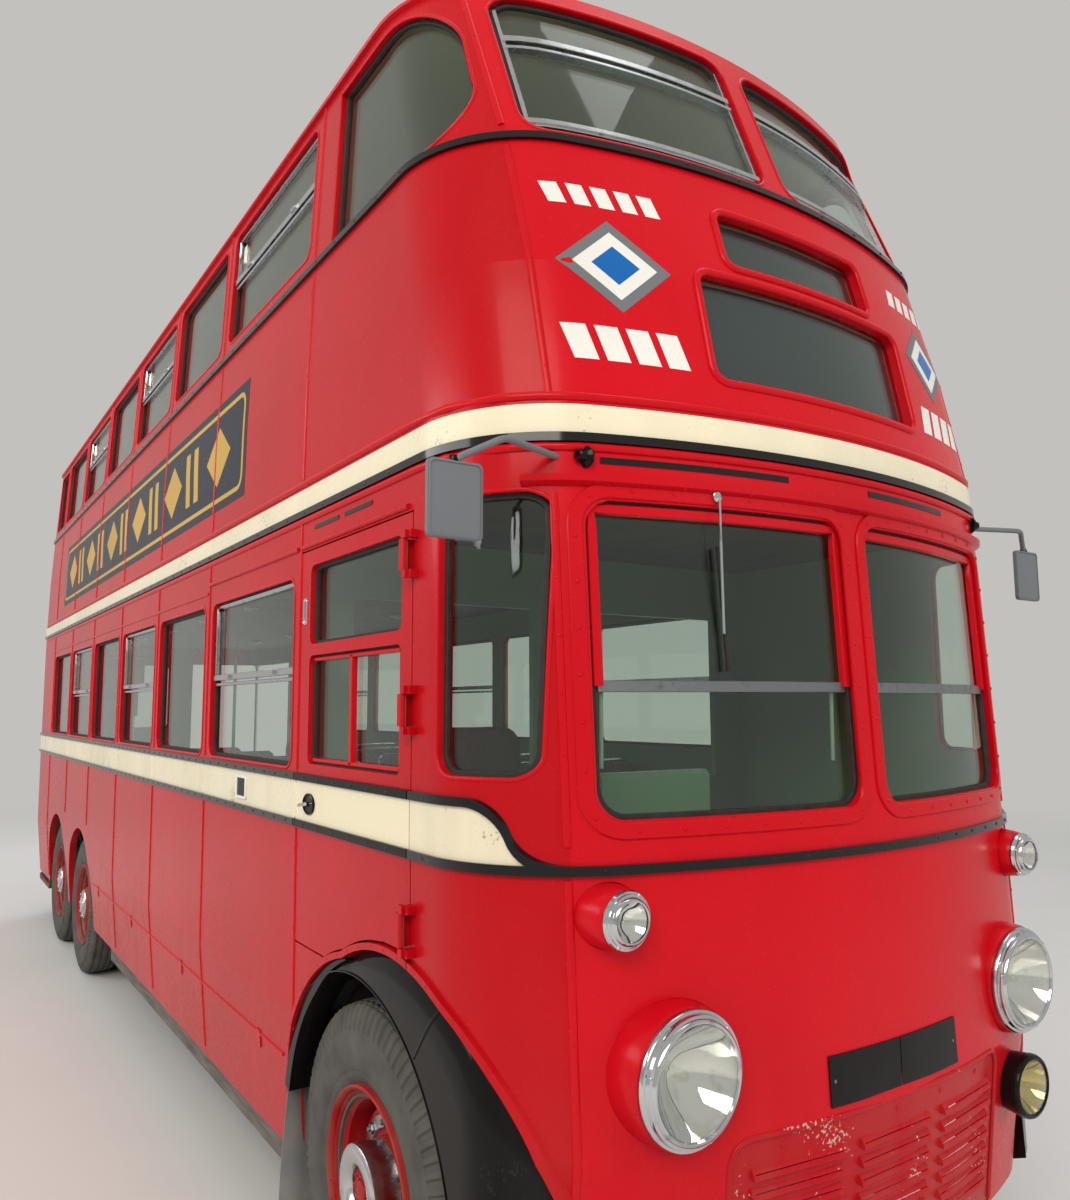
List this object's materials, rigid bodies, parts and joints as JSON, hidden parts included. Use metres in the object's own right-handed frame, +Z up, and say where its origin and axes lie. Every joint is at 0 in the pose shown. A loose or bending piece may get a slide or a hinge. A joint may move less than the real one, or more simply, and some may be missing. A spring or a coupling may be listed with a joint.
{
  "type": "double-deck trolleybus",
  "caption": "Full-front double-deck electric trolleybus with open rear platform, side cab door, roof booms, steered front axle and tandem rear axles.",
  "frame": {"origin": "centre of the bounding box on the road", "axes": "the front faces -Y, the driver's offside is -X, the kerb side is +X, +Z is up"},
  "size_m": [2.674, 9.7837, 4.8948],
  "materials": {
    "red_paint": "gloss",
    "cream_paint": "gloss",
    "black_paint": "satin",
    "roof_paint": "satin",
    "glass": "clear",
    "floor_timber": "matte",
    "interior_paint": "gloss",
    "seat_cloth": "woven",
    "grey_steel": "satin",
    "bright_metal": "polished",
    "mirror_grey": "satin",
    "blind": "matte",
    "tyre": "matte",
    "wheel_red": "gloss",
    "lamp_glass": "polished"
  },
  "bodies": {
    "bus_body": {"black_mouldings": "black_paint", "cab_bulkhead": "interior_paint", "cream_bands": "cream_paint", "destination_box": "blind", "front_axle": "black_paint", "front_dash_panel": "red_paint", "front_lamps": "lamp_glass", "front_wings": "black_paint", "hand_rails": "bright_metal", "leaf_springs": "black_paint", "life_guards": "black_paint", "louvre_panel": "red_paint", "lower_floor": "floor_timber", "mirrors": "mirror_grey", "nearside_cab_side": "red_paint", "nearside_lower_side": "red_paint", "nearside_upper_side": "red_paint", "offside_cab_side": "red_paint", "offside_lower_side": "red_paint", "offside_upper_side": "red_paint", "rear_axles": "black_paint", "rear_lower_panel": "red_paint", "rear_platform": "floor_timber", "rear_upper_panel": "red_paint", "roof_panel": "roof_paint", "saloon_seats": "seat_cloth", "staircase": "floor_timber", "steering_column": "black_paint", "traction_motor": "black_paint", "trolley_gantry": "grey_steel", "underframe": "black_paint", "upper_floor": "floor_timber", "upper_front_panel": "red_paint", "window_glass": "glass", "windscreen_frame": "red_paint"},
    "cab_door": {"cab_door": "red_paint", "cab_door_glass": "glass"},
    "emergency_door": {"emergency_door": "red_paint", "emergency_glass": "glass"},
    "offside_knuckle": {"offside_knuckle": "black_paint"},
    "nearside_knuckle": {"nearside_knuckle": "black_paint"},
    "offside_front_wheel": {"offside_front_wheel": "wheel_red", "offside_front_tyre": "tyre"},
    "nearside_front_wheel": {"nearside_front_wheel": "wheel_red", "nearside_front_tyre": "tyre"},
    "steering_wheel": {"steering_wheel": "black_paint"},
    "offside_rear_wheels_1": {"offside_rear_wheel_1": "wheel_red", "offside_rear_tyres_1": "tyre"},
    "offside_rear_wheels_2": {"offside_rear_wheel_2": "wheel_red", "offside_rear_tyres_2": "tyre"},
    "offside_turntable": {"offside_turntable": "grey_steel"},
    "offside_boom": {"offside_boom": "grey_steel"},
    "nearside_rear_wheels_1": {"nearside_rear_wheel_1": "wheel_red", "nearside_rear_tyres_1": "tyre"},
    "nearside_rear_wheels_2": {"nearside_rear_wheel_2": "wheel_red", "nearside_rear_tyres_2": "tyre"},
    "nearside_turntable": {"nearside_turntable": "grey_steel"},
    "nearside_boom": {"nearside_boom": "grey_steel"}
  },
  "joints": [
    {"name": "cab_door_hinge", "type": "hinge", "parent": "bus_body", "child": "cab_door", "pos_m": [-1.167, -4.192, 1.9], "axis": [0, 0, 1], "range_deg": [0, 80]},
    {"name": "emergency_door_hinge", "type": "hinge", "parent": "bus_body", "child": "emergency_door", "pos_m": [0, 4.1586, 4.184], "axis": [1, 0, 0], "range_deg": [0, 85]},
    {"name": "offside_steer", "type": "hinge", "parent": "bus_body", "child": "offside_knuckle", "pos_m": [-0.79, -3.812, 0.53], "axis": [0, 0, 1], "range_deg": [-30, 30]},
    {"name": "nearside_steer", "type": "hinge", "parent": "bus_body", "child": "nearside_knuckle", "pos_m": [0.79, -3.812, 0.53], "axis": [0, 0, 1], "range_deg": [-30, 30]},
    {"name": "steering_wheel_turn", "type": "hinge", "parent": "bus_body", "child": "steering_wheel", "pos_m": [-0.45, -4.332, 0.932], "axis": [0, 0.4067, 0.9135], "range_deg": [-480, 480]},
    {"name": "offside_front_spin", "type": "hinge", "parent": "offside_knuckle", "child": "offside_front_wheel", "pos_m": [-0.975, -3.812, 0.53], "axis": [1, 0, 0], "continuous": true},
    {"name": "offside_rear_spin_1", "type": "hinge", "parent": "bus_body", "child": "offside_rear_wheels_1", "pos_m": [-0.984, 1.428, 0.5], "axis": [1, 0, 0], "continuous": true},
    {"name": "offside_rear_spin_2", "type": "hinge", "parent": "bus_body", "child": "offside_rear_wheels_2", "pos_m": [-0.984, 2.628, 0.5], "axis": [1, 0, 0], "continuous": true},
    {"name": "offside_boom_swing", "type": "hinge", "parent": "bus_body", "child": "offside_turntable", "pos_m": [-0.305, -0.592, 4.75], "axis": [0, 0, 1], "range_deg": [-56, 56]},
    {"name": "offside_boom_lift", "type": "hinge", "parent": "offside_turntable", "child": "offside_boom", "pos_m": [-0.305, -0.592, 4.8], "axis": [1, 0, 0], "range_deg": [0, 38]},
    {"name": "nearside_front_spin", "type": "hinge", "parent": "nearside_knuckle", "child": "nearside_front_wheel", "pos_m": [0.975, -3.812, 0.53], "axis": [1, 0, 0], "continuous": true},
    {"name": "nearside_rear_spin_1", "type": "hinge", "parent": "bus_body", "child": "nearside_rear_wheels_1", "pos_m": [0.984, 1.428, 0.5], "axis": [1, 0, 0], "continuous": true},
    {"name": "nearside_rear_spin_2", "type": "hinge", "parent": "bus_body", "child": "nearside_rear_wheels_2", "pos_m": [0.984, 2.628, 0.5], "axis": [1, 0, 0], "continuous": true},
    {"name": "nearside_boom_swing", "type": "hinge", "parent": "bus_body", "child": "nearside_turntable", "pos_m": [0.305, -0.592, 4.75], "axis": [0, 0, 1], "range_deg": [-56, 56]},
    {"name": "nearside_boom_lift", "type": "hinge", "parent": "nearside_turntable", "child": "nearside_boom", "pos_m": [0.305, -0.592, 4.8], "axis": [1, 0, 0], "range_deg": [0, 38]}
  ],
  "couplings": [
    {"joint": "nearside_steer", "follows": "offside_steer", "ratio": 1},
    {"joint": "steering_wheel_turn", "follows": "offside_steer", "ratio": 16},
    {"joint": "nearside_boom_swing", "follows": "offside_boom_swing", "ratio": 1}
  ]
}
